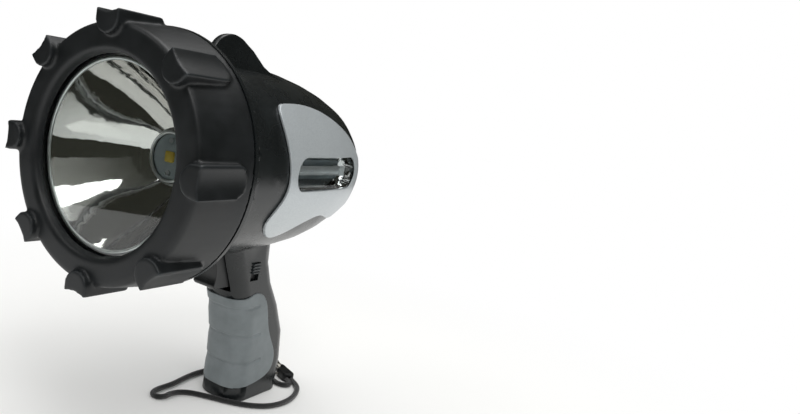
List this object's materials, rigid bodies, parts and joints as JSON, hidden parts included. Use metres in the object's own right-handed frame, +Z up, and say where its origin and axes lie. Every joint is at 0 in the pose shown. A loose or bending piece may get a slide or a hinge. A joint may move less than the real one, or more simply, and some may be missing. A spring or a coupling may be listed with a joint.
{
  "type": "rechargeable spotlight",
  "caption": "Pistol-grip rechargeable LED spotlight with a lobed bezel, a side lamp, a trigger, a slide selector, a rubber grip pad and a clip-on wrist lanyard.",
  "frame": {"origin": "middle of the grip's flat base, on the surface it stands on", "axes": "+X the way the beam points, +Y the object's left side (side lamp and selector), +Z up"},
  "size_m": [0.221, 0.1432, 0.2326],
  "materials": {
    "bezel_rubber": "satin black moulded rubber",
    "housing_plastic": "fine satin black moulded plastic",
    "silver_paint": "silver lacquer",
    "clear_lens": "clear moulded polycarbonate",
    "gasket_rubber": "soft black rubber",
    "mirror_bright": "bright vacuum-plated reflector",
    "heat_sink_metal": "plain extruded",
    "board_white": "white solder mask on an aluminium-cored board",
    "led_yellow": "yellow phosphor",
    "steel_bright": "zinc-plated",
    "nickel": "nickel plate",
    "spring_steel": "bare spring steel",
    "pad_rubber": "soft-touch grey rubber",
    "cell_sleeve": "shrink sleeve over a steel can",
    "cradle_plastic": "plain moulded plastic",
    "board_green": "green solder mask",
    "switch_black": "moulded",
    "trigger_plastic": "satin black moulded plastic",
    "knob_grey": "satin grey",
    "clear_window": "clear moulded polycarbonate",
    "lamp_tube": "frosted white",
    "socket_black": "moulded",
    "cover_rubber": "soft black rubber",
    "lanyard_black": "moulded",
    "cord_black": "braided nylon cord"
  },
  "bodies": {
    "body": {"battery_cells": "cell_sleeve", "battery_cradle": "cradle_plastic", "bezel_ring": "bezel_rubber", "charge_socket": "socket_black", "control_board": "board_green", "cord_sleeve": "lanyard_black", "cover_pin": "steel_bright", "front_lens": "clear_lens", "grip_pad": "pad_rubber", "heat_sink": "heat_sink_metal", "housing_left": "housing_plastic", "housing_right": "housing_plastic", "housing_screws": "steel_bright", "led_board": "board_white", "led_emitter": "led_yellow", "led_screws": "steel_bright", "lens_gasket": "gasket_rubber", "reflector": "mirror_bright", "selector_switch": "switch_black", "side_lamp_board": "board_white", "side_lamp_lens": "clear_window", "side_lamp_reflector": "mirror_bright", "side_lamp_tube": "lamp_tube", "side_panel_left": "silver_paint", "side_panel_right": "silver_paint", "trigger_pin": "steel_bright", "trigger_spring": "spring_steel", "trigger_switch": "switch_black", "wrist_loop": "cord_black"},
    "trigger": {"trigger": "trigger_plastic"},
    "selector": {"selector_knob": "knob_grey"},
    "cover": {"port_cover": "cover_rubber"},
    "hook": {"clasp_hook": "nickel"},
    "bolt": {"clasp_bolt": "nickel"},
    "ring": {"swivel_ring": "nickel"}
  },
  "joints": [
    {"name": "trigger_pull", "type": "hinge", "parent": "body", "child": "trigger", "pos_m": [0.04054, 0, 0.09844], "axis": [0, 1, 0], "range_deg": [0, 11], "stiffness_Nm_per_rad": 0.25, "springref_deg": -20.05, "deforming": ["trigger_spring"]},
    {"name": "selector_slide", "type": "slide", "parent": "body", "child": "selector", "axis": [0, 0, -1], "range_m": [0, 0.0046]},
    {"name": "cover_hinge", "type": "hinge", "parent": "body", "child": "cover", "pos_m": [-0.05607, 0, 0.15722], "axis": [0, 1, 0], "range_deg": [0, 90]},
    {"name": "hook_swing", "type": "hinge", "parent": "body", "child": "hook", "pos_m": [-0.0345, 0, 0.0164], "axis": [0, 1, 0], "range_deg": [0, 1.5]},
    {"name": "bolt_slide", "type": "slide", "parent": "hook", "child": "bolt", "axis": [-0.7252, 0.145, -0.673], "range_m": [0, 0.0036], "stiffness_N_per_m": 100, "springref_m": -0.004},
    {"name": "ring_swivel", "type": "hinge", "parent": "hook", "child": "ring", "pos_m": [-0.0345, 0, 0.0164], "axis": [-0.7252, 0.145, -0.673], "range_deg": [-8, 10]}
  ]
}
